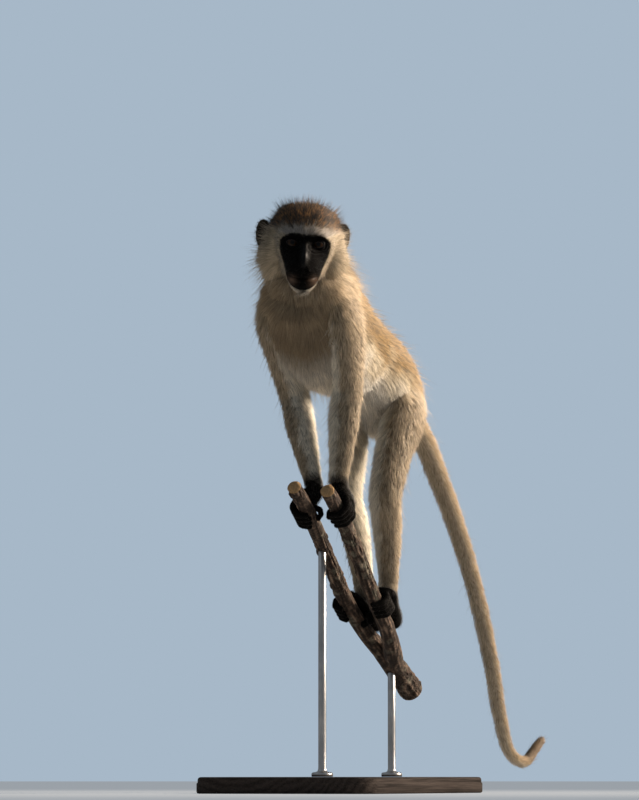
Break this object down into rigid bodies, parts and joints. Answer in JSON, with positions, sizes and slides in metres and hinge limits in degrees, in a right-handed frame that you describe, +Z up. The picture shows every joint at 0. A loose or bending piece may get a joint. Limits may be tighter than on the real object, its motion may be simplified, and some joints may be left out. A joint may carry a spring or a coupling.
{
  "type": "life-size vervet monkey on a perch",
  "caption": "Life-size vervet monkey standing on all fours along a cut forked branch, head turned to its left, tail hanging behind, on a plain display stand with a flat base and rods.",
  "frame": {"origin": "middle of the underside of the stand's base", "axes": "+Z up, the monkey's body runs along Y with the head towards -Y, and its left side is towards +X"},
  "size_m": [0.21, 0.6621, 0.6425],
  "materials": {
    "crown_fur": "grizzled brown fur",
    "ruff_fur": "pale tan fur",
    "grizzled_fur": "grizzled olive-tan fur",
    "dark_fur": "dark brown fur",
    "black_skin": "bare black skin, matt with a soft sheen",
    "eye": "wet gloss",
    "bark": "rough bark",
    "stained_wood": "satin black stain",
    "steel": "satin"
  },
  "bodies": {
    "root": {"head": "crown_fur", "face": "black_skin", "eye_left": "eye", "eye_right": "eye", "ear_left": "black_skin", "ear_right": "black_skin", "neck": "ruff_fur", "trunk": "grizzled_fur", "tail_root": "grizzled_fur", "tail_upper": "grizzled_fur", "tail_middle": "grizzled_fur", "tail_lower": "grizzled_fur", "tail_tip": "dark_fur", "branch": "bark", "stand_base": "stained_wood", "stand_rod_front": "steel", "stand_rod_rear": "steel", "upper_arm_right": "grizzled_fur", "forearm_right": "grizzled_fur", "thigh_right": "grizzled_fur", "shank_right": "grizzled_fur", "hand_right": "black_skin", "foot_right": "black_skin", "upper_arm_left": "grizzled_fur", "forearm_left": "grizzled_fur", "thigh_left": "grizzled_fur", "shank_left": "grizzled_fur", "hand_left": "black_skin", "foot_left": "black_skin"}
  },
  "joints": []
}
